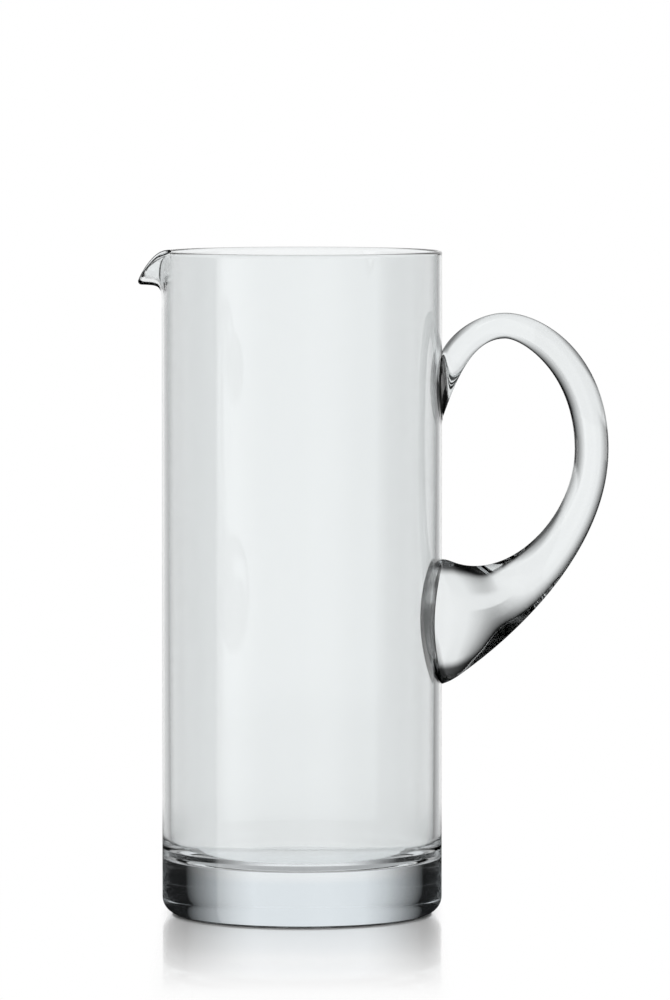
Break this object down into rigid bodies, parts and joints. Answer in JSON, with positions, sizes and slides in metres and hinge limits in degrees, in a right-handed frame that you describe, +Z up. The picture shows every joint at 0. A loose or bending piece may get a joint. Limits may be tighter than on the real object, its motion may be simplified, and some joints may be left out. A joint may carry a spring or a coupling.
{
  "type": "glass water jug",
  "caption": "Tall clear glass water jug: straight cylindrical wall on a heavy base, pulled pouring lip and an applied loop handle.",
  "frame": {"origin": "centre of the standing ring, on the body's axis, at the surface that the jug stands on", "axes": "+Z up along the body's axis, +X towards the handle, -X towards the pouring lip"},
  "size_m": [0.1683, 0.1, 0.237],
  "materials": {
    "clear_glass": "clear, fire-polished",
    "base_glass": "clear, thick, faintly blue",
    "handle_glass": "clear, hand drawn"
  },
  "bodies": {
    "root": {"body_wall": "clear_glass", "heavy_base": "base_glass", "pouring_lip": "clear_glass", "handle": "handle_glass"}
  },
  "joints": []
}
